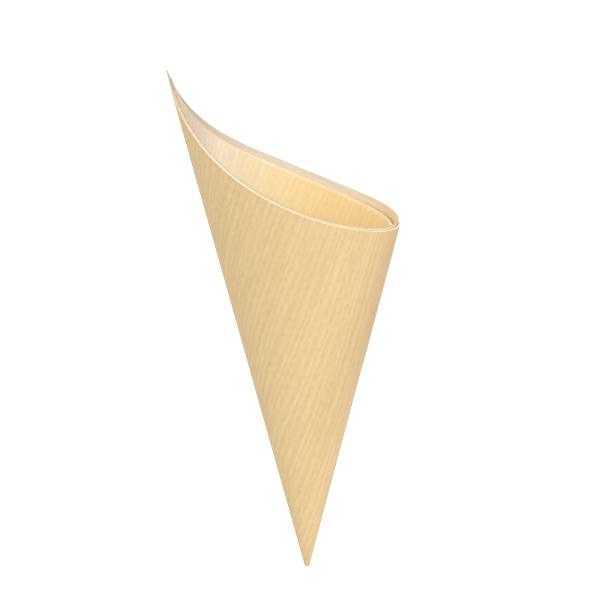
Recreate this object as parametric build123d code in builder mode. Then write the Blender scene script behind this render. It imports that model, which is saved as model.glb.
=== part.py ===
from build123d import *
from math import asin, atan2, ceil, cos, degrees, floor, hypot, radians, sin, tan
import os

# Bamboo food cone: one oblong sheet of thin veneer, rolled into a pointed cone and glued to itself.
# The cone's point lies on one long side of the sheet, so the sheet fans out from it over a half circle.
# The other three sides make the mouth's slanted rim, and the two far corners meet in its tall tip.
# All lengths are in millimetres and all angles in degrees.

# The flat sheet. Its point is this far from the middle of its long side.
sheet_length = 256.6
sheet_width = 130.4
point_offset = 1.2
veneer = 0.6

# The roll. Each end of the sheet is a free flap: the outer one stands off and the inner one curls in.
turns = 2.02
layer_gap = 0.2
outer_flap = 60
outer_slackening = 0.4
inner_flap = 110
inner_tightening = 0.6

# The point, which is solid where the turns are too tight to stay hollow
bore_end_radius = 1.0
point_radius = 0.45

# The flat that the cone lies on, pressed into its tall side. It is deepest at the tip.
rest_flat = 0.15

# How finely the rim follows the roll
curve_step = 12

one_turn = 360
half_turn = one_turn / 2
roll_end = one_turn * turns
half_angle = degrees(asin(half_turn / roll_end))
slope_sin = sin(radians(half_angle))
slope_cos = cos(radians(half_angle))
slope_tan = tan(radians(half_angle))

# Sizes straight across the slanted layers
layer_width = veneer / slope_cos
layer_pitch = (veneer + layer_gap) / slope_cos

# The sheet's edges and far corners, seen from the cone's point
outer_reach = sheet_length / 2 + point_offset
inner_reach = sheet_length / 2 - point_offset
outer_corner = degrees(atan2(sheet_width, outer_reach)) / slope_sin
inner_corner = (half_turn - degrees(atan2(sheet_width, inner_reach))) / slope_sin
wall_reach = hypot(sheet_width, max(outer_reach, inner_reach)) + veneer
trim_reach = wall_reach + veneer


class Bend:
    """A stretch of the roll, bent round as part of a cone. It meets its neighbour smoothly at one end."""

    def __init__(self, start, end, meets, tightening=0):
        # The roll is drawn in by half its pitch each half turn, by shifting its axis from side to side
        half_turns = meets // half_turn
        shift = layer_pitch / 4 if half_turns % 2 == 0 else -layer_pitch / 4
        self.drawn_in = layer_pitch / 4 * (2 * half_turns + 1)
        self.start, self.end, self.meets = start, end, meets
        self.plane = Plane(
            origin=(shift, 0, self.drawn_in / slope_tan),
            x_dir=(cos(radians(meets)), -sin(radians(meets)), 0),
            z_dir=(-sin(radians(meets)), -cos(radians(meets)), 0),
        )
        down = self.plane.from_local_coords((-sin(radians(tightening)), -cos(radians(tightening))))
        self.axis = Axis(self.plane.origin, down - self.plane.origin)
        self.rate = slope_sin / sin(radians(half_angle - tightening))

    def local(self, reach, depth):
        """A point this far along the sheet and this deep in it, on the bend's own plane."""
        along = reach - self.drawn_in / slope_sin
        return (along * slope_sin - depth * slope_cos, along * slope_cos + depth * slope_sin)

    def point(self, roll, reach, depth):
        """The same point once it is bent round to its place in the roll."""
        arm = self.plane.from_local_coords(self.local(reach, depth)) - self.plane.origin
        return self.plane.origin + arm.rotate(self.axis, (roll - self.meets) * self.rate)

    def sweep(self, outline):
        """Bends the outline, given on the bend's own plane, round the whole stretch."""
        with BuildSketch(self.plane) as section:
            with BuildLine():
                Polyline(*outline, close=True)
            make_face()
        arc = (self.start + self.end - 2 * self.meets) * self.rate
        revolve(section.sketch, axis=self.axis, revolution_arc=arc)


inner_start = roll_end - inner_flap
halves = range(floor(outer_flap / half_turn) + 1, ceil(inner_start / half_turn))
joints = [outer_flap, *[half_turn * number for number in halves], inner_start]
bends = [
    Bend(0, outer_flap, outer_flap, -outer_slackening),
    *[Bend(start, end, start) for start, end in zip(joints, joints[1:])],
    Bend(inner_start, roll_end, inner_start, inner_tightening),
]


def edge_reach(roll):
    """How far the sheet's edge lies from the cone's point, this far round the roll from the outer end."""
    fan = radians(roll * slope_sin)
    if roll <= outer_corner:
        return outer_reach / cos(fan)
    if roll <= inner_corner:
        return sheet_width / sin(fan)
    return -inner_reach / cos(fan)


def place(roll, reach, depth):
    """Where a point of the flat sheet lies once the sheet is rolled up."""
    bend = next((bend for bend in bends if roll <= bend.end), bends[-1])
    return bend.point(roll, reach, depth)


def trace(start, end, depth, reach):
    """A smooth curve round the roll, evenly timed so that facing curves match."""
    steps = ceil((end - start) / curve_step)
    rolls = [start + (end - start) * step / steps for step in range(steps + 1)]
    points = [place(roll, reach(roll), depth) for roll in rolls]
    return Edge.make_spline(points, parameters=[roll / half_turn for roll in rolls])


# What is trimmed off to leave the rim: all beyond the sheet's edge, with half a gap to spare on each face
trim_depths = (-layer_gap / 2, veneer + layer_gap / 2)
trim_start = -curve_step
trim_end = roll_end + curve_step
trim_faces = []
for start, end in ((trim_start, outer_corner), (outer_corner, inner_corner), (inner_corner, trim_end)):
    low_out, low_in = [trace(start, end, depth, edge_reach) for depth in trim_depths]
    top_out, top_in = [trace(start, end, depth, lambda roll: trim_reach) for depth in trim_depths]
    for pair in ((low_out, low_in), (top_out, top_in), (low_out, top_out), (low_in, top_in)):
        trim_faces.append(Face.make_surface_from_curves(*pair))
for roll in (trim_start, trim_end):
    low, top = [
        Edge.make_line(*[place(roll, reach, depth) for depth in trim_depths])
        for reach in (edge_reach(roll), trim_reach)
    ]
    trim_faces.append(Face.make_surface_from_curves(low, top))

# The bore ends where its radius has shrunk to its smallest, and the point where its own has
core_radius = bore_end_radius + turns * layer_pitch + layer_width
core_height = core_radius / slope_tan
blunt_height = (point_radius + 3 * layer_pitch / 4) / slope_tan

# The flat lies across from the outer end of the sheet. It narrows from the tall tip down to the point,
# where it runs midway between the axes of the two half turns that it crosses.
flat_length = wall_reach - layer_pitch / 2 / slope_sin
flat_angle = half_angle - degrees(atan2(rest_flat, flat_length))
inwards = (cos(radians(flat_angle)), 0, sin(radians(flat_angle)))
lying_plane = Plane(origin=place(half_turn, wall_reach, rest_flat), z_dir=inwards)

# The solid point has the outermost turn's outline
with BuildPart() as solid_point:
    for start in (0, half_turn):
        bend = Bend(start, start + half_turn, start)
        low, high = [height - bend.plane.origin.Z for height in (blunt_height, core_height)]
        bend.sweep([(0, low), (0, high), (high * slope_tan, high), (low * slope_tan, low)])
    split(bisect_by=lying_plane, keep=Keep.TOP)

with BuildPart() as roll_up:
    for bend in bends:
        bend.sweep([
            bend.local(core_height / slope_cos - veneer, 0),
            bend.local(wall_reach, 0),
            bend.local(wall_reach, veneer),
            bend.local(core_height / slope_cos - veneer, veneer),
        ])
    split(bisect_by=lying_plane, keep=Keep.TOP)
    add(Solid(Shell(trim_faces)), mode=Mode.SUBTRACT)
    add(solid_point.part)

with BuildPart() as veneer_cone:
    # It lies on its flat, with the point towards +X and the middle of its footprint at the origin
    laid = roll_up.part.rotate(Axis.Y, flat_angle - 90)
    room = laid.bounding_box()
    with Locations((-room.center().X, -room.center().Y, -room.min.Z)):
        add(laid)

os.makedirs("parts", exist_ok=True)
veneer_cone.part.label = "veneer_cone"
export_step(veneer_cone.part, "parts/veneer_cone.step")
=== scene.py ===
"""A pointed food cone, rolled from one sheet of thin pale bamboo veneer, in a bright studio."""

import logging
from dataclasses import dataclass, field
from enum import Enum
from math import asin, atan2, ceil, cos, degrees, hypot, pi, radians, sin, tan
from typing import Any, Sequence

import bpy
from mathutils import Matrix, Vector


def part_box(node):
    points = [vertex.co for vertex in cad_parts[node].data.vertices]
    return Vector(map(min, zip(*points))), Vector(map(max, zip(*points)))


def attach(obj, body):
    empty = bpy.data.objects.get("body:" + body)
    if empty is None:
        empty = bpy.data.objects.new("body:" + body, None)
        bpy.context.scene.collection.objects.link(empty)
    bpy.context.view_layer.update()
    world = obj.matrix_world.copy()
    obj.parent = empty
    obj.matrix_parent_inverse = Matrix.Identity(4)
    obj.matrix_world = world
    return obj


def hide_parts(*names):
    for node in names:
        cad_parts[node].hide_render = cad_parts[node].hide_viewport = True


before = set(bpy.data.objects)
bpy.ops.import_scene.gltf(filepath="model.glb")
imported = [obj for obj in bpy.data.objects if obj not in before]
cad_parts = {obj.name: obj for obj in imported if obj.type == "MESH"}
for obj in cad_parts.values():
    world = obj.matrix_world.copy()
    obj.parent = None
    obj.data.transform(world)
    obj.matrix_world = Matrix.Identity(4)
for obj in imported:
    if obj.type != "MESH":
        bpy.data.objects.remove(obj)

log = logging.getLogger("food_cone")
MM = 0.001
ONE_TURN = 360.0
HALF_TURN = 180.0
NODE = "veneer_cone"
FLAT_SHEET = "flat_sheet"
PICTURE_WIDTH = 600
PATTERN_DRIFT = (1.0, 0.37, 1.91)


class Face(Enum):
    """The kinds of surface on the veneer, in the order of the material slots."""

    OUTSIDE = 0
    INSIDE = 1
    CUT_EDGE = 2


class Socket:
    """An output socket that adds its own Math nodes when Python operators are used on it."""

    def __init__(self, nodes: "NodeTree", output: bpy.types.NodeSocket | None) -> None:
        """Keeps the tree and the socket.

        Args:
            nodes: The tree that the socket's node is in.
            output: The output socket itself, if the node has one.
        """
        self.nodes = nodes
        self.output = output

    def _math(self, operation: str, *values: Any) -> "Socket":
        """Adds one Math node.

        Args:
            operation: The Math node's operation.
            values: Its inputs, each a Socket or a number.

        Returns:
            The node's result.
        """
        return self.nodes.add("ShaderNodeMath", {"operation": operation}, dict(enumerate(values)))

    def __add__(self, other: Any) -> "Socket":
        """Adds a number or a socket."""
        return self._math("ADD", self, other)

    def __radd__(self, other: Any) -> "Socket":
        """Adds to a number."""
        return self._math("ADD", other, self)

    def __sub__(self, other: Any) -> "Socket":
        """Subtracts a number or a socket."""
        return self._math("SUBTRACT", self, other)

    def __rsub__(self, other: Any) -> "Socket":
        """Subtracts from a number."""
        return self._math("SUBTRACT", other, self)

    def __mul__(self, other: Any) -> "Socket":
        """Multiplies by a number or a socket."""
        return self._math("MULTIPLY", self, other)

    def __rmul__(self, other: Any) -> "Socket":
        """Multiplies a number."""
        return self._math("MULTIPLY", other, self)

    def __truediv__(self, other: Any) -> "Socket":
        """Divides by a number or a socket."""
        return self._math("DIVIDE", self, other)

    def __rtruediv__(self, other: Any) -> "Socket":
        """Divides a number."""
        return self._math("DIVIDE", other, self)

    def sine(self) -> "Socket":
        """Takes the sine of an angle in radians."""
        return self._math("SINE", self)

    def clamped(self) -> "Socket":
        """Keeps the value between 0 and 1."""
        return self._math("MINIMUM", self._math("MAXIMUM", self, 0.0), 1.0)

    def between(self, low: float, high: float) -> "Socket":
        """Maps low to 0 and high to 1, and keeps the result between them."""
        return ((self - low) / (high - low)).clamped()


@dataclass(frozen=True)
class Marks:
    """Marks in the wood, drawn out along the grain. Their sizes are in metres."""

    length: float
    width: float
    pattern: float = 0.0
    detail: float = 2.0
    roughness: float = 0.5
    span: tuple[float, float] = (0.0, 1.0)


FIBRES = Marks(0.020, 0.00034, roughness=0.6, span=(0.25, 0.75))
LINE_WANDER = Marks(0.060, 0.0050, pattern=8.6, detail=1.0)
LINE_PATCHES = Marks(0.022, 0.0040, pattern=15.2, detail=1.0, span=(0.15, 0.55))
BROAD_STREAKS = Marks(0.250, 0.0080, pattern=26.2, span=(0.30, 0.70))
RIPPLE = Marks(0.0026, 0.0014, pattern=44.8, span=(0.30, 0.70))
END_GRAIN = Marks(0.0009, 0.0006, pattern=5.3, span=(0.35, 0.65))


class NodeTree:
    """The node tree of a material or of the world, filled from Python."""

    def __init__(self, owner: bpy.types.Material | bpy.types.World) -> None:
        """Empties the owner's tree.

        Args:
            owner: The new material or world.
        """
        owner.use_nodes = True
        self.owner = owner
        self.tree = owner.node_tree
        self.tree.nodes.clear()

    def add(self, kind: str, settings: dict[str, Any] | None = None,
            sockets: dict[Any, Any] | None = None, output: Any = 0) -> Socket:
        """Adds any node.

        Args:
            kind: The node's type.
            settings: Attributes of the node, set first.
            sockets: Values or links of its inputs, by name or number.
            output: The output socket to return, by name or number.

        Returns:
            The output socket, wrapped.
        """
        node = self.tree.nodes.new(kind)
        for key, value in (settings or {}).items():
            setattr(node, key, value)
        for key, value in (sockets or {}).items():
            if isinstance(value, Socket):
                self.tree.links.new(value.output, node.inputs[key])
            elif isinstance(value, tuple) and len(node.inputs[key].default_value) == 4:
                node.inputs[key].default_value = (*value[:3], 1.0)
            else:
                node.inputs[key].default_value = value
        return Socket(self, node.outputs[output] if node.outputs else None)

    def mix(self, share: Any, first: Any, second: Any, blend: str = "MIX") -> Socket:
        """Mixes two colours.

        Args:
            share: How much of the second colour is used.
            first: The first colour.
            second: The second colour.
            blend: The way in which they are blended.

        Returns:
            The mixed colour.
        """
        settings = {"data_type": "RGBA", "blend_type": blend}
        return self.add("ShaderNodeMix", settings, {0: share, 6: first, 7: second}, output=2)

    def part_of(self, vector: Socket, axis: str) -> Socket:
        """Picks the X, Y or Z out of a vector."""
        return self.add("ShaderNodeSeparateXYZ", None, {"Vector": vector}, output=axis)

    def stretched_noise(self, where: Socket, marks: Marks, seed: float = 0.0) -> Socket:
        """Noise drawn out along the grain.

        Args:
            where: The place on the flat sheet.
            marks: What its marks are like.
            seed: Picks one pattern out of many.

        Returns:
            A value from 0 to 1.
        """
        start = seed + marks.pattern
        scaled = self.add("ShaderNodeMapping", {"vector_type": "POINT"}, {
            "Vector": where, "Location": tuple(start * drift for drift in PATTERN_DRIFT),
            "Scale": (1.0 / marks.length, 1.0 / marks.width, 1.0),
        })
        return self.add("ShaderNodeTexNoise", {"noise_dimensions": "2D"}, {
            "Vector": scaled, "Scale": 1.0, "Detail": marks.detail, "Roughness": marks.roughness,
        })

    def matt_surface(self, colour: Socket, roughness: Any, shine: float, height: Socket,
                     relief: float, relief_strength: float) -> bpy.types.Material:
        """Ends the tree with matt wood that has a fine relief.

        Args:
            colour: The wood's colour.
            roughness: Its roughness, as a number or a socket.
            shine: How much of the light it mirrors.
            height: The relief, from 0 to 1.
            relief: The relief's depth in metres.
            relief_strength: How strongly the relief shows.

        Returns:
            The finished material.
        """
        bump = self.add("ShaderNodeBump", None, {
            "Strength": relief_strength, "Distance": relief, "Height": height,
        })
        return self.surface(self.add("ShaderNodeBsdfPrincipled", None, {
            "Base Color": colour, "Roughness": roughness, "Normal": bump,
            "Specular IOR Level": shine,
        }))

    def surface(self, shader: Socket) -> bpy.types.Material | bpy.types.World:
        """Ends the tree with a surface shader.

        Args:
            shader: The shader's output.

        Returns:
            The finished material or world.
        """
        of_world = isinstance(self.owner, bpy.types.World)
        kind = "ShaderNodeOutputWorld" if of_world else "ShaderNodeOutputMaterial"
        self.add(kind, None, {"Surface": shader})
        return self.owner


@dataclass(frozen=True)
class Zone:
    """A part of the flat sheet where the wood has another shade, with soft sides.

    Each side is given as where the zone starts and where it has its full strength, in metres.
    The lean is how far the sides along the sheet lean for each metre inwards.
    """

    tint: tuple[float, float, float]
    inwards: tuple[float, float] | None = None
    along: tuple[float, float] | None = None
    lean: float = 0.0

    def applied(self, nodes: NodeTree, colour: Socket, along: Socket, inwards: Socket) -> Socket:
        """Tints a colour inside the zone.

        Args:
            nodes: The tree that is being filled.
            colour: The colour so far.
            along: The place along the sheet's long side.
            inwards: The distance from the long side that the cone's point is on.

        Returns:
            The tinted colour.
        """
        if self.lean:
            along = along - inwards * self.lean
        sides = [(inwards, self.inwards), (along, self.along)]
        shares = [place.between(*side) for place, side in sides if side is not None]
        share = shares[0] * shares[1] if len(shares) == 2 else shares[0]
        return nodes.mix(share, colour, self.tint, "MULTIPLY")


@dataclass(frozen=True)
class SlicedVeneer:
    """A broad face of the sheet: pale wood with growth lines, fine fibres and a faint ripple."""

    name: str
    light: tuple[float, float, float]
    dark: tuple[float, float, float]
    zones: tuple[Zone, ...]
    seed: float
    line_strength: float = 0.34
    line_spacing: float = 0.0023
    line_wander: float = 8.0
    line_height: float = 0.3
    fibre_strength: float = 0.24
    fibre_height: float = 0.5
    streak_strength: float = 0.16
    ripple_strength: float = 0.28
    ripple_height: float = 0.2
    grain_turn: float = -3.5
    roughness: float = 0.58
    roughness_spread: float = 0.12
    shine: float = 0.25
    relief: float = 0.00004
    relief_strength: float = 0.30

    def _growth_lines(self, nodes: NodeTree, flat: Socket) -> Socket:
        """Even lines along the grain that wander a little and fade in patches.

        Args:
            nodes: The tree that is being filled.
            flat: The place on the flat sheet, turned to the grain.

        Returns:
            A value from 0 to 1.
        """
        across = nodes.part_of(flat, "Y")
        wander = nodes.stretched_noise(flat, LINE_WANDER, self.seed)
        patches = nodes.stretched_noise(flat, LINE_PATCHES, self.seed)
        wave = across * (2 * pi / self.line_spacing) + wander * self.line_wander
        return (wave.sine() * 0.5 + 0.5) * patches.between(*LINE_PATCHES.span)

    def material(self) -> bpy.types.Material:
        """Builds the material on the sheet's own flat coordinates.

        Returns:
            The finished material.
        """
        nodes = NodeTree(bpy.data.materials.new(self.name))
        sheet = nodes.add("ShaderNodeUVMap", {"uv_map": FLAT_SHEET})
        flat = nodes.add("ShaderNodeMapping", {"vector_type": "POINT"}, {
            "Vector": sheet, "Rotation": (0.0, 0.0, radians(self.grain_turn)),
        })
        lines = self._growth_lines(nodes, flat)
        fibres = nodes.stretched_noise(flat, FIBRES, self.seed)
        streaks = nodes.stretched_noise(flat, BROAD_STREAKS, self.seed)
        ripple = nodes.stretched_noise(flat, RIPPLE, self.seed)
        shade = (lines * self.line_strength
                 + fibres.between(*FIBRES.span) * self.fibre_strength
                 + streaks.between(*BROAD_STREAKS.span) * self.streak_strength
                 + ripple.between(*RIPPLE.span) * self.ripple_strength)
        colour = nodes.mix(shade.clamped(), self.dark, self.light)
        along, inwards = nodes.part_of(sheet, "X"), nodes.part_of(sheet, "Y")
        for zone in self.zones:
            colour = zone.applied(nodes, colour, along, inwards)
        height = (fibres * self.fibre_height + lines * self.line_height
                  + ripple * self.ripple_height)
        rough = self.roughness + (fibres - 0.5) * self.roughness_spread
        return nodes.matt_surface(
            colour, rough, self.shine, height, self.relief, self.relief_strength)


# The outer half of the sheet lies at positive places along it, and the inner half at negative ones
OUTER_FACE = SlicedVeneer(
    "outer_face", light=(0.834, 0.621, 0.329), dark=(0.676, 0.481, 0.233), seed=3.1,
    zones=(
        # Painted shade along the edge that the cone's point is on, towards the outer end, where the
        # seam side of the cone turns away from the light
        Zone((0.83, 0.765, 0.74), inwards=(0.026, 0.0), along=(0.045, 0.095)),
        # The pale margin of the inner turn that shows above the outer one
        Zone((1.13, 1.22, 1.58), inwards=(0.1292, 0.1300), along=(0.0, -0.01)),
    ))
INNER_FACE = SlicedVeneer(
    "inner_face", light=(0.950, 0.748, 0.394), dark=(0.835, 0.635, 0.325), seed=17.4,
    fibre_strength=0.30, zones=(
        # The inner half, creamier away from the edge that the point is on: partly the wood's own
        # paler inner face, partly painted light where light falls straight onto the inner wall
        # towards the tall tip
        Zone((0.93, 0.94, 0.90), inwards=(0.010, 0.045), along=(0.0, -0.045)),
        Zone((0.905, 1.01, 1.70), inwards=(0.050, 0.102), along=(0.0, -0.045)),
        # The outer half, which only shows as a band along the back of the rim
        Zone((0.83, 0.93, 1.56), inwards=(0.050, 0.102), along=(0.0, 0.045)),
        Zone((0.91, 0.92, 0.82), inwards=(0.1215, 0.1223), along=(0.020, 0.050)),
        # Painted shade on the band towards the tall tip, where the outer ply's inner side lies in
        # shade
        Zone((0.64, 0.61, 0.51), inwards=(0.1215, 0.1223), along=(0.070, 0.120)),
        # The inner wall, darker and browner in a patch towards the tall tip
        Zone((0.85, 0.80, 0.69), inwards=(0.090, 0.108), along=(-0.095, -0.112)),
        # A paler strip along the inner end: painted light that lifts the shade in the gap behind
        # the free end
        Zone((1.06, 1.10, 1.25), along=(-0.1271, -0.1275), lean=0.022),
    ))


@dataclass(frozen=True)
class CutEdge:
    """The sheet's knife-cut edge, paler than its faces and darker along the rim and the top of its
    ends.
    """

    name: str = "cut_edge"
    light: tuple[float, float, float] = (0.92, 0.76, 0.57)
    dark: tuple[float, float, float] = (0.82, 0.65, 0.46)
    # Darker along the rim and towards it on the ends
    rim_darkening: Zone = Zone((0.62, 0.60, 0.55), inwards=(0.080, 0.1295))
    roughness: float = 0.72
    shine: float = 0.2
    relief: float = 0.00006
    relief_strength: float = 0.3

    def material(self) -> bpy.types.Material:
        """Builds the material.

        Returns:
            The finished material.
        """
        nodes = NodeTree(bpy.data.materials.new(self.name))
        sheet = nodes.add("ShaderNodeUVMap", {"uv_map": FLAT_SHEET})
        ends = nodes.stretched_noise(sheet, END_GRAIN)
        colour = nodes.mix(ends.between(*END_GRAIN.span), self.dark, self.light)
        along, inwards = nodes.part_of(sheet, "X"), nodes.part_of(sheet, "Y")
        colour = self.rim_darkening.applied(nodes, colour, along, inwards)
        return nodes.matt_surface(
            colour, self.roughness, self.shine, ends, self.relief, self.relief_strength)


FINISHES: dict[Face, SlicedVeneer | CutEdge] = {
    Face.OUTSIDE: OUTER_FACE,
    Face.INSIDE: INNER_FACE,
    Face.CUT_EDGE: CutEdge(),
}


@dataclass(frozen=True)
class LitFloor:
    """A white studio floor that is lit from below, so that it stays white in the picture."""

    colour: tuple[float, float, float] = (0.9, 0.9, 0.9)
    roughness: float = 0.8
    shine: float = 0.1
    glow_colour: tuple[float, float, float] = (1.0, 1.0, 1.0)
    glow: float = 0.9

    def material(self) -> bpy.types.Material:
        """Builds the material.

        Returns:
            The finished material.
        """
        nodes = NodeTree(bpy.data.materials.new("lit_floor"))
        return nodes.surface(nodes.add("ShaderNodeBsdfPrincipled", None, {
            "Base Color": self.colour, "Roughness": self.roughness,
            "Specular IOR Level": self.shine,
            "Emission Color": self.glow_colour, "Emission Strength": self.glow,
        }))


def select_only(*objects: bpy.types.Object) -> None:
    """Deselects everything, then selects these objects and makes the first one active.

    Args:
        objects: What is selected.
    """
    bpy.ops.object.select_all(action="DESELECT")
    for piece in objects:
        piece.select_set(True)
    bpy.context.view_layer.objects.active = objects[0]


def apply_modifiers(piece: bpy.types.Object) -> None:
    """Applies all of a piece's modifiers in order.

    Args:
        piece: The piece that has them.
    """
    select_only(piece)
    for modifier in list(piece.modifiers):
        bpy.ops.object.modifier_apply(modifier=modifier.name)


@dataclass
class RolledVeneer:
    """The whole cone: one flat sheet wound twice round, with a tight solid point.

    Sizes are in millimetres and angles in degrees. A place on the sheet is given by its roll, which
    is how far round the cone it lies from the sheet's outer end, and by its reach, which is how far
    along the sheet it lies from the cone's point.
    """

    sheet_length: float = 257.8
    sheet_width: float = 130.4
    point_offset: float = 0.6
    thickness: float = 0.72
    turns: float = 2.02
    layer_gap: float = 0.08
    bore_end_radius: float = 1.0
    point_radius: float = 0.45

    # The free ends of the sheet, and the bulge at the back right of the rim
    outer_flap: float = 60.0
    outer_slackening: float = 0.4
    inner_flap: float = 110.0
    inner_tightening: float = 0.05
    outer_bulge: float = 0.55
    bulge_middle: float = 335.0
    bulge_reach: float = 45.0

    # How the rim differs from one cut with straight, square sides. The slant is a slope.
    inner_slant: float = 0.022
    inner_rise: float = 0.45
    corner_dip: float = 1.4
    dip_reach: float = 75.0
    dip_skew: float = 0.7
    edge_rounding: float = 0.06

    # The flat that the cone lies on, and how far the laid cone is moved across
    rest_flat: float = 0.15
    sideways: float = -0.0396

    # How fine the mesh is, and which corners are rounded and which are shaded smooth
    column_step: float = 1.6
    rows: int = 24
    point_steps: int = 160
    rounded_over: float = 60.0
    smooth_under: float = 40.0

    to_row: Matrix = field(init=False)

    def __post_init__(self) -> None:
        """Works out the sizes that follow from the sheet's own."""
        self.roll_end = ONE_TURN * self.turns
        self.half_angle = asin(HALF_TURN / self.roll_end)
        self.grip = sin(self.half_angle)
        self.pitch = (self.thickness + self.layer_gap) / cos(self.half_angle)
        self.outer_reach = self.sheet_length / 2 + self.point_offset
        self.inner_reach = self.sheet_length / 2 - self.point_offset
        self.outer_corner = degrees(atan2(self.sheet_width, self.outer_reach)) / self.grip
        inner_half = self.inner_reach - self.inner_slant * self.sheet_width
        inner_fan = HALF_TURN - degrees(atan2(self.sheet_width, inner_half))
        self.inner_corner = inner_fan / self.grip
        self.tall_reach = hypot(self.sheet_width, self.outer_reach)
        layer_width = self.thickness / cos(self.half_angle)
        core_radius = self.bore_end_radius + self.turns * self.pitch + layer_width
        self.core_height = core_radius / tan(self.half_angle)
        self.foot_reach = self.core_height / cos(self.half_angle)

        # The point ends where the second half turn's radius has shrunk to its smallest
        self.blunt_height = (self.point_radius + 0.75 * self.pitch) / tan(self.half_angle)
        self.to_row = self._laid_down()

    def edge_reach(self, roll: float) -> float:
        """How far the sheet's edge lies from the cone's point.

        Args:
            roll: Degrees round the roll from the outer end.

        Returns:
            The distance along the sheet, in millimetres.
        """
        fan = radians(roll * self.grip)
        if roll <= self.outer_corner:
            return self.outer_reach / cos(fan)
        if roll <= self.inner_corner:
            past = max(roll - ONE_TURN, 0.0) / (self.inner_corner - ONE_TURN)
            rise = self.inner_rise * sin(pi * past) ** 0.5
            return (self.sheet_width + rise) / sin(fan) - self._dip(roll - self.outer_corner)
        end = self.inner_reach / (self.inner_slant * sin(fan) - cos(fan))
        return end - self._dip(roll - self.inner_corner)

    def _dip(self, past: float) -> float:
        """How far the rim dips behind a far corner, this many degrees past it."""
        share = min(past / self.dip_reach, 1.0)
        return self.corner_dip * sin(pi * share ** self.dip_skew)

    def _lean(self, roll: float) -> float:
        """How far the veneer leans in towards the cone's axis.

        Args:
            roll: Degrees round the roll from the outer end.

        Returns:
            The angle in radians, less than 0 where it leans out.
        """
        lean = 0.0
        if roll < self.outer_flap:
            lean = radians(-self.outer_slackening) * (1 - cos(radians(self.outer_flap - roll)))
        hinge = self.roll_end - self.inner_flap
        if roll > hinge:
            lean = radians(self.inner_tightening) * (1 - cos(radians(roll - hinge)))
        if abs(roll - self.bulge_middle) < self.bulge_reach:
            share = cos(pi / 2 * (roll - self.bulge_middle) / self.bulge_reach) ** 2
            lean = -radians(self.outer_bulge) * share
        return lean

    def outside(self, roll: float, reach: float) -> Vector:
        """A point on the sheet's outer face, in the upright cone.

        Args:
            roll: Degrees round the roll from the outer end.
            reach: Distance along the sheet from the cone's point, in millimetres.

        Returns:
            The point, in millimetres.
        """
        radius = reach * (self.grip - self._lean(roll)) - self.pitch * roll / ONE_TURN
        turn = radians(roll)
        return Vector((radius * cos(turn), -radius * sin(turn), reach * cos(self.half_angle)))

    def _laid_down(self) -> Matrix:
        """Lays the upright cone on its flat, with its tip at the end of the CAD node's box.

        Returns:
            The turn and shift from the upright cone's millimetres to where it lies, in metres.
        """
        wall_reach = self.tall_reach + self.thickness
        flat_length = wall_reach - self.pitch / 2 / self.grip
        flat_angle = self.half_angle - atan2(self.rest_flat, flat_length)
        turn = Matrix.Rotation(flat_angle - pi / 2, 4, "Y")
        seat = self.outside(HALF_TURN, wall_reach)
        seat += Vector((cos(self.half_angle), 0, sin(self.half_angle))) * self.rest_flat
        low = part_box(NODE)[0]
        tip = turn @ self.outside(self.outer_corner, self.tall_reach)
        shift = Vector((low.x / MM - tip.x, self.sideways, -(turn @ seat).z))
        return Matrix.Scale(MM, 4) @ Matrix.Translation(shift) @ turn

    def _columns(self) -> list[float]:
        """Spaces the sheet's columns evenly round the roll, with one at each far corner.

        Returns:
            The roll of each column.
        """
        stops = [0.0, self.outer_corner, self.inner_corner, self.roll_end]
        columns = [0.0]
        for start, end in zip(stops, stops[1:]):
            steps = ceil((end - start) / self.column_step)
            columns += [start + (end - start) * step / steps for step in range(1, steps + 1)]
        return columns

    def _roll_up(self, mesh: bpy.types.Mesh, places: Sequence[tuple[float, float]]) -> None:
        """Moves a mesh's vertices to their places on the roll.

        It also stores where each lies on the flat sheet, in metres, as the map that the grain
        follows.

        Args:
            mesh: The mesh to roll up.
            places: Each vertex's roll and reach.
        """
        for vertex, (roll, reach) in zip(mesh.vertices, places):
            vertex.co = self.outside(roll, reach)
        layer = mesh.uv_layers.get(FLAT_SHEET) or mesh.uv_layers.new(name=FLAT_SHEET)
        for loop in mesh.loops:
            roll, reach = places[loop.vertex_index]
            fan = radians(roll * self.grip)
            layer.data[loop.index].uv = (reach * cos(fan) * MM, reach * sin(fan) * MM)

    def _outer_skin(self) -> bpy.types.Object:
        """Models the sheet's outer face as a flat grid and rolls it up.

        Returns:
            The rolled sheet, as one skin without thickness.
        """
        columns = self._columns()
        last = len(columns) - 1
        bpy.ops.object.select_all(action="DESELECT")
        bpy.ops.mesh.primitive_grid_add(
            x_subdivisions=last, y_subdivisions=self.rows, size=1.0, location=(0, 0, 0))
        sheet = bpy.context.object
        places: list[tuple[float, float]] = []
        for vertex in sheet.data.vertices:
            roll = columns[round((vertex.co.x + 0.5) * last)]
            share = vertex.co.y + 0.5
            reach = self.foot_reach + (self.edge_reach(roll) - self.foot_reach) * share
            places.append((roll, reach))
        self._roll_up(sheet.data, places)
        return sheet

    def _face_outwards(self, sheet: bpy.types.Object) -> None:
        """Turns all of the skin's faces away from the cone's axis.

        Args:
            sheet: The rolled skin.
        """
        select_only(sheet)
        bpy.ops.object.mode_set(mode="EDIT")
        bpy.ops.mesh.select_all(action="SELECT")
        bpy.ops.mesh.normals_make_consistent(inside=False)
        bpy.ops.object.mode_set(mode="OBJECT")
        middle = sheet.data.polygons[len(sheet.data.polygons) // 2]
        if middle.normal.dot(Vector((middle.center.x, middle.center.y, 0))) < 0:
            sheet.data.flip_normals()

    def _thicken(self, sheet: bpy.types.Object) -> None:
        """Gives the rolled sheet its thickness inwards, with the cut edge as its own slot.

        Args:
            sheet: The rolled skin, which faces outwards.
        """
        wall = sheet.modifiers.new("wall", "SOLIDIFY")
        wall.thickness = self.thickness
        wall.offset = -1.0
        wall.use_even_offset = True
        wall.use_quality_normals = True
        wall.material_offset = Face.INSIDE.value
        wall.material_offset_rim = Face.CUT_EDGE.value
        apply_modifiers(sheet)

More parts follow.
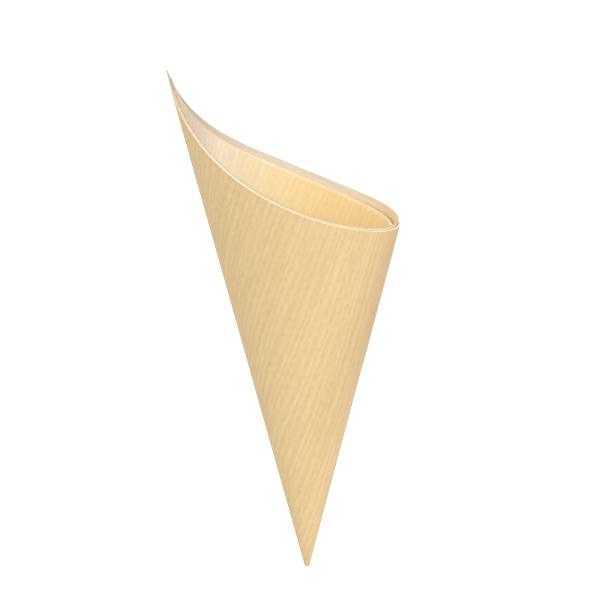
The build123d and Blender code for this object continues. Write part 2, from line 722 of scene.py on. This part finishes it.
    def _solid_point(self) -> bpy.types.Object:
        """Models the tight point, which carries on the outermost turn's outside.

        Returns:
            The point, closed at both ends.
        """
        corners = self.point_steps + 1
        bpy.ops.object.select_all(action="DESELECT")
        bpy.ops.mesh.primitive_cone_add(
            vertices=corners, radius1=1.0, radius2=2.0, depth=2.0, end_fill_type="NGON",
            location=(0, 0, 0))
        point = bpy.context.object
        places: list[tuple[float, float]] = []
        for vertex in point.data.vertices:
            number = round(atan2(vertex.co.x, vertex.co.y) / (2 * pi) * corners) % corners
            height = self.core_height if vertex.co.z > 0 else self.blunt_height
            places.append((ONE_TURN * number / self.point_steps, height / cos(self.half_angle)))
        self._roll_up(point.data, places)
        return point

    def _join_point(self, sheet: bpy.types.Object) -> None:
        """Adds the solid point to the rolled sheet.

        Args:
            sheet: The rolled sheet, with its materials.
        """
        point = self._solid_point()
        for material in sheet.data.materials:
            point.data.materials.append(material)
        select_only(sheet, point)
        bpy.ops.object.join()

    def _lay_down(self, sheet: bpy.types.Object) -> None:
        """Lays the cone on its side, with nothing under the floor.

        Args:
            sheet: The upright cone.
        """
        sheet.data.transform(self.to_row)
        for vertex in sheet.data.vertices:
            vertex.co.z = max(vertex.co.z, 0.0)

    def _round_edges(self, sheet: bpy.types.Object) -> None:
        """Takes the sharpness off the cut edges and shades the faces smooth.

        Args:
            sheet: The cone where it lies.
        """
        bevel = sheet.modifiers.new("edge", "BEVEL")
        bevel.width = self.edge_rounding * MM
        bevel.segments = 1
        bevel.limit_method = "ANGLE"
        bevel.angle_limit = radians(self.rounded_over)
        bevel.use_clamp_overlap = True
        apply_modifiers(sheet)
        select_only(sheet)
        bpy.ops.object.shade_smooth_by_angle(angle=radians(self.smooth_under))

    def build(self) -> bpy.types.Object:
        """Builds the cone where it lies.

        Returns:
            The finished piece, dressed and riding on the frame.
        """
        sheet = self._outer_skin()
        sheet.name = "rolled_veneer"
        sheet.data.materials.clear()
        for face in Face:
            sheet.data.materials.append(FINISHES[face].material())
        self._face_outwards(sheet)
        self._thicken(sheet)
        self._join_point(sheet)
        self._lay_down(sheet)
        self._round_edges(sheet)
        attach(sheet, "root")
        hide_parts(NODE)
        return sheet


@dataclass(frozen=True)
class SoftLight:
    """A square soft light. Its places and size are in metres."""

    name: str
    place: tuple[float, float, float]
    aim: tuple[float, float, float]
    size: float
    watts: float

    def hang(self) -> None:
        """Hangs the light and turns it to its aim."""
        data = bpy.data.lights.new(self.name, "AREA")
        data.shape = "SQUARE"
        data.size = self.size
        data.energy = self.watts
        lamp = bpy.data.objects.new(self.name, data)
        lamp.location = self.place
        way = Vector(self.aim) - Vector(self.place)
        lamp.rotation_euler = way.to_track_quat("-Z", "Y").to_euler()
        bpy.context.scene.collection.objects.link(lamp)


@dataclass
class Studio:
    """The floor, the lights and the camera. Places are in metres."""

    floor_size: float = 12.0
    backdrop_glow: float = 1.05
    sky: float = 0.94
    sky_below: float = 0.75
    sky_at_mouth: float = 0.62
    key: SoftLight = SoftLight("key", (-0.42, -1.16, 0.38), (0.0, 0.0, 0.02), 0.8, 4.6)
    camera_place: tuple[float, float, float] = (-0.2763, -1.00403, 0.04417)
    camera_aim: tuple[float, float, float] = (-0.002, 0.00234, 0.02265)
    camera_up: tuple[float, float, float] = (-0.92825, 0.26723, 0.25874)
    focal_pixels: float = 3091.0
    sensor_width: float = 36.0
    farthest_seen: float = 50.0

    def lay_floor(self) -> None:
        """Lays the floor that the cone lies on."""
        bpy.ops.object.select_all(action="DESELECT")
        bpy.ops.mesh.primitive_plane_add(size=self.floor_size, location=(0, 0, 0))
        floor = bpy.context.object
        floor.name = "studio_floor"
        floor.data.materials.append(LitFloor().material())
        floor.visible_diffuse = False
        floor.visible_glossy = False

    def hang_backdrop(self) -> None:
        """Hangs a white dome round everything, which only the camera sees."""
        bpy.ops.object.select_all(action="DESELECT")
        bpy.ops.mesh.primitive_uv_sphere_add(
            segments=48, ring_count=24, radius=self.floor_size, location=(0, 0, 0))
        dome = bpy.context.object
        dome.name = "studio_backdrop"
        nodes = NodeTree(bpy.data.materials.new("backdrop_white"))
        glow = nodes.add("ShaderNodeEmission", None, {"Strength": self.backdrop_glow})
        dome.data.materials.append(nodes.surface(glow))
        dome.visible_diffuse = False
        dome.visible_glossy = False
        dome.visible_shadow = False

    def light_world(self) -> None:
        """Fills the surroundings with soft white light, stronger from the mouth's side."""
        nodes = NodeTree(bpy.data.worlds.new("white_studio"))
        way = nodes.add("ShaderNodeTexCoord", None, None, output="Generated")
        level = (self.sky + self.sky_below) / 2
        strength = nodes.part_of(way, "Z") * ((self.sky - self.sky_below) / 2) + level
        strength = strength + nodes.part_of(way, "X").between(0.0, -1.0) * self.sky_at_mouth
        bpy.context.scene.world = nodes.surface(nodes.add("ShaderNodeBackground", None, {
            "Color": (1.0, 1.0, 1.0), "Strength": strength,
        }))

    def place_camera(self) -> None:
        """Sets the camera at the photograph's viewing angle."""
        data = bpy.data.cameras.new("camera")
        data.sensor_width = self.sensor_width
        data.lens = self.focal_pixels / PICTURE_WIDTH * self.sensor_width
        data.clip_end = self.farthest_seen
        back = (Vector(self.camera_place) - Vector(self.camera_aim)).normalized()
        right = Vector(self.camera_up).cross(back).normalized()
        up = back.cross(right)
        turn = Matrix((right, up, back)).transposed().to_4x4()
        camera = bpy.data.objects.new("camera", data)
        camera.matrix_world = Matrix.Translation(self.camera_place) @ turn
        bpy.context.scene.collection.objects.link(camera)
        bpy.context.scene.camera = camera

    def build(self) -> None:
        """Builds the whole studio."""
        self.lay_floor()
        self.hang_backdrop()
        self.light_world()
        self.key.hang()
        self.place_camera()
        view = bpy.context.scene.view_settings
        view.view_transform = "Standard"
        view.look = "None"


def main() -> None:
    """Builds the cone and the studio in order, and reports each piece."""
    logging.basicConfig(level=logging.INFO, format="%(name)s: %(message)s")
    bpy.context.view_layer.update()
    cone = RolledVeneer().build()
    log.info("%s: %d faces", cone.name, len(cone.data.polygons))
    Studio().build()
    log.info("studio: floor, lights and camera")


if __name__ == "__main__":
    main()
